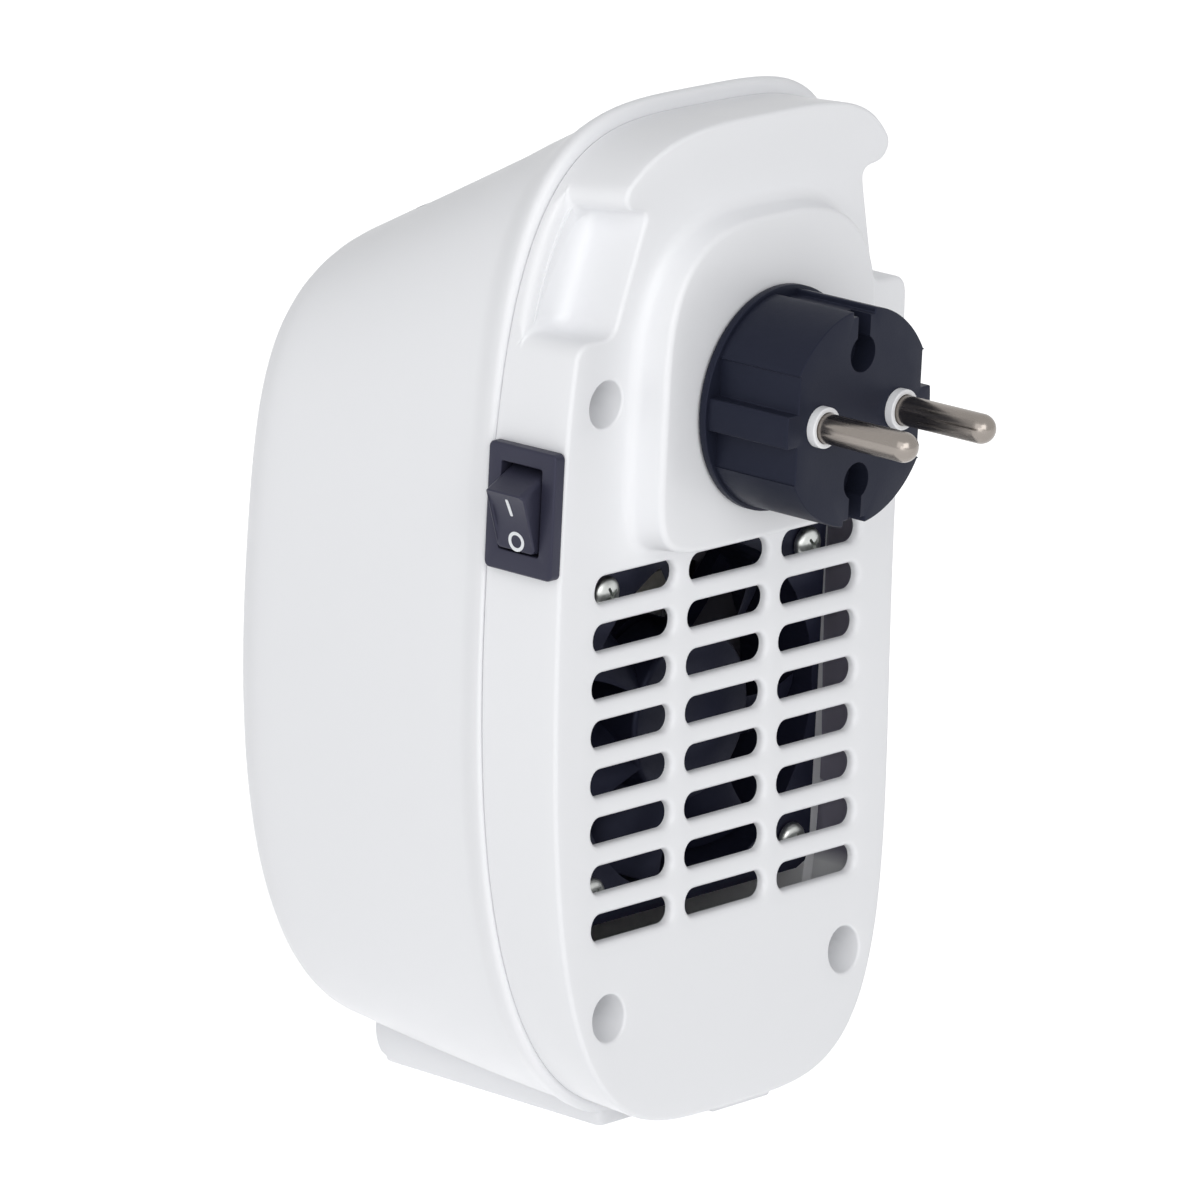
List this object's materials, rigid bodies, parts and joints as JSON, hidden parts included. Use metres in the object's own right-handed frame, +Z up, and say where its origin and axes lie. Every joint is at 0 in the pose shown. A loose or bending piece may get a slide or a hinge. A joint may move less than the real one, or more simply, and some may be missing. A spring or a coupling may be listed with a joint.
{
  "type": "plug-in fan heater",
  "caption": "Compact plug-in ceramic fan heater with curved white case, slotted back, side rocker switch, finger grips and a rotating round mains plug.",
  "frame": {"origin": "centre of the foot's flat underside", "axes": "+Z up along the case, +Y out along the plug pins, warm air leaves along -Y, rocker switch on +X"},
  "size_m": [0.0887, 0.116, 0.1651],
  "materials": {
    "shell_white": "satin white moulded plastic",
    "plug_black": "satin black plastic",
    "pin_nickel": "nickel plated brass",
    "sleeve_white": "white plastic",
    "switch_black": "satin black plastic",
    "brass": "plain brass",
    "steel": "zinc plated steel",
    "fan_black": "matt black plastic",
    "copper": "copper windings",
    "duct_grey": "light grey heat resistant plastic",
    "heater_black": "heat resistant plastic",
    "ceramic": "ceramic heating cores",
    "fin_aluminium": "folded aluminium strip",
    "grille_black": "heat resistant black plastic",
    "panel_black": "gloss black",
    "window_smoke": "smoked clear plastic",
    "button_grey": "grey plastic",
    "board_green": "circuit board",
    "block_plastic": "plastic component bodies",
    "lead_insulation": "insulated wire",
    "retainer_grey": "grey plastic"
  },
  "bodies": {
    "case": {"air_duct": "duct_grey", "case_screw_1": "steel", "case_screw_2": "steel", "case_screw_3": "steel", "case_screw_4": "steel", "ceramic_core_1": "ceramic", "ceramic_core_2": "ceramic", "ceramic_core_3": "ceramic", "control_board": "board_green", "control_panel": "panel_black", "display_window": "window_smoke", "fan_frame": "fan_black", "fan_screw_1": "steel", "fan_screw_2": "steel", "fan_screw_3": "steel", "fan_screw_4": "steel", "fan_stator": "copper", "fin_pack_1": "fin_aluminium", "fin_pack_2": "fin_aluminium", "fin_pack_3": "fin_aluminium", "fin_pack_4": "fin_aluminium", "front_shell": "shell_white", "heater_frame": "heater_black", "heater_terminal_1": "brass", "heater_terminal_2": "brass", "lead_display": "lead_insulation", "lead_fan": "lead_insulation", "lead_heater_1": "lead_insulation", "lead_heater_2": "lead_insulation", "lead_live": "lead_insulation", "lead_neutral": "lead_insulation", "lead_switched": "lead_insulation", "led_display": "block_plastic", "outlet_grille": "grille_black", "power_board": "board_green", "rear_shell": "shell_white", "relay": "block_plastic", "switch_housing": "switch_black", "switch_tab_1": "brass", "switch_tab_2": "brass", "terminal_block": "block_plastic", "thermal_cutout": "steel"},
    "rocker": {"switch_rocker": "switch_black"},
    "plug": {"pin_sleeve_1": "sleeve_white", "pin_sleeve_2": "sleeve_white", "plug_body": "plug_black", "plug_pin_1": "pin_nickel", "plug_pin_2": "pin_nickel", "plug_retainer": "retainer_grey", "retainer_screw_1": "steel", "retainer_screw_2": "steel"},
    "fan_rotor": {"fan_impeller": "fan_black", "fan_shaft": "steel"},
    "button_minus_cap": {"button_minus": "button_grey"},
    "button_plus_cap": {"button_plus": "button_grey"},
    "button_power_cap": {"button_power": "button_grey"},
    "button_timer_cap": {"button_timer": "button_grey"}
  },
  "joints": [
    {"name": "rocker_tilt", "type": "hinge", "parent": "case", "child": "rocker", "pos_m": [0.0391, 0.02155, 0.1059], "axis": [0, -1, 0], "range_deg": [0, 28]},
    {"name": "plug_turn", "type": "hinge", "parent": "case", "child": "plug", "pos_m": [0, 0.03506, 0.12], "axis": [0, 1, 0], "range_deg": [-90, 90]},
    {"name": "fan_spin", "type": "hinge", "parent": "case", "child": "fan_rotor", "pos_m": [0, 0.0172, 0.0652], "axis": [0, 1, 0], "continuous": true},
    {"name": "button_minus_press", "type": "slide", "parent": "case", "child": "button_minus_cap", "axis": [0, 0.4897, -0.8719], "range_m": [0, 0.0006], "stiffness_N_per_m": 300},
    {"name": "button_plus_press", "type": "slide", "parent": "case", "child": "button_plus_cap", "axis": [0, 0.4897, -0.8719], "range_m": [0, 0.0006], "stiffness_N_per_m": 300},
    {"name": "button_power_press", "type": "slide", "parent": "case", "child": "button_power_cap", "axis": [0, 0.4897, -0.8719], "range_m": [0, 0.0006], "stiffness_N_per_m": 300},
    {"name": "button_timer_press", "type": "slide", "parent": "case", "child": "button_timer_cap", "axis": [0, 0.4897, -0.8719], "range_m": [0, 0.0006], "stiffness_N_per_m": 300}
  ]
}
